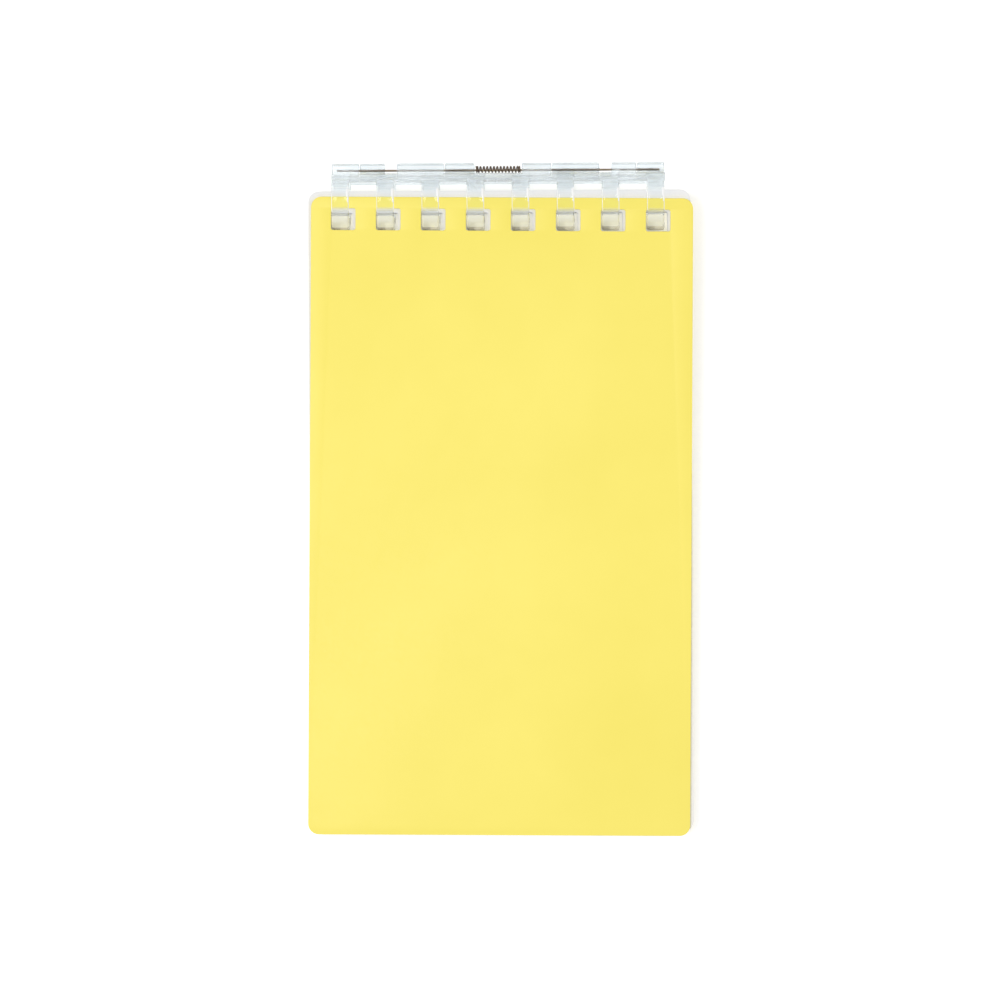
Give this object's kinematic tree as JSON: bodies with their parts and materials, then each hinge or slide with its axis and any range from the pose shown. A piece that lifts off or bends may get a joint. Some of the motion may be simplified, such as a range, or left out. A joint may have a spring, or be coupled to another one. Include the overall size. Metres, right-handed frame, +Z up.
{
  "type": "top-bound ring notebook",
  "caption": "Pocket memo notebook with plastic covers, paper pages and an openable two-part clear ring comb along its top edge.",
  "frame": {"origin": "on the table under the middle of the book as it lies", "axes": "+X along the comb to the right, +Y up the page towards the comb, +Z up out of the front cover"},
  "size_m": [0.073, 0.127, 0.0122],
  "materials": {
    "paper": "uncoated white writing paper",
    "cover": "satin yellow polypropylene sheet",
    "clear_comb": "clear moulded plastic with a faint blue-grey cast",
    "pin_metal": "drawn wire, dark and satin",
    "spring_steel": "dark spring wire"
  },
  "bodies": {
    "book": {"page_block": "paper", "front_comb": "clear_comb", "lock_spring": "spring_steel"},
    "front_leaf": {"front_cover": "cover"},
    "pin_slider": {"hinge_pin": "pin_metal"},
    "back_rings": {"back_comb": "clear_comb"},
    "back_leaf": {"back_cover": "cover"}
  },
  "joints": [
    {"name": "front_cover_swing", "type": "hinge", "parent": "book", "child": "front_leaf", "pos_m": [0.0006, 0.05666, 0.0086], "axis": [-1, 0.0099, 0.0003], "range_deg": [0, 115]},
    {"name": "ring_unlock", "type": "slide", "parent": "book", "child": "pin_slider", "axis": [1, 0, 0], "range_m": [0, 0.00121], "deforming": ["lock_spring"]},
    {"name": "ring_open", "type": "hinge", "parent": "pin_slider", "child": "back_rings", "pos_m": [-0.00013, 0.06213, 0.00625], "axis": [1, 0, 0], "range_deg": [0, 50], "stiffness_Nm_per_rad": 0.0034, "springref_deg": -50},
    {"name": "back_cover_swing", "type": "hinge", "parent": "back_rings", "child": "back_leaf", "pos_m": [0.00004, 0.0568, 0.0036], "axis": [1, 0, 0], "range_deg": [0, 115]}
  ],
  "couplings": [
    {"joint": "ring_unlock", "follows": "ring_open", "m_per_rad": 0.0013751}
  ]
}
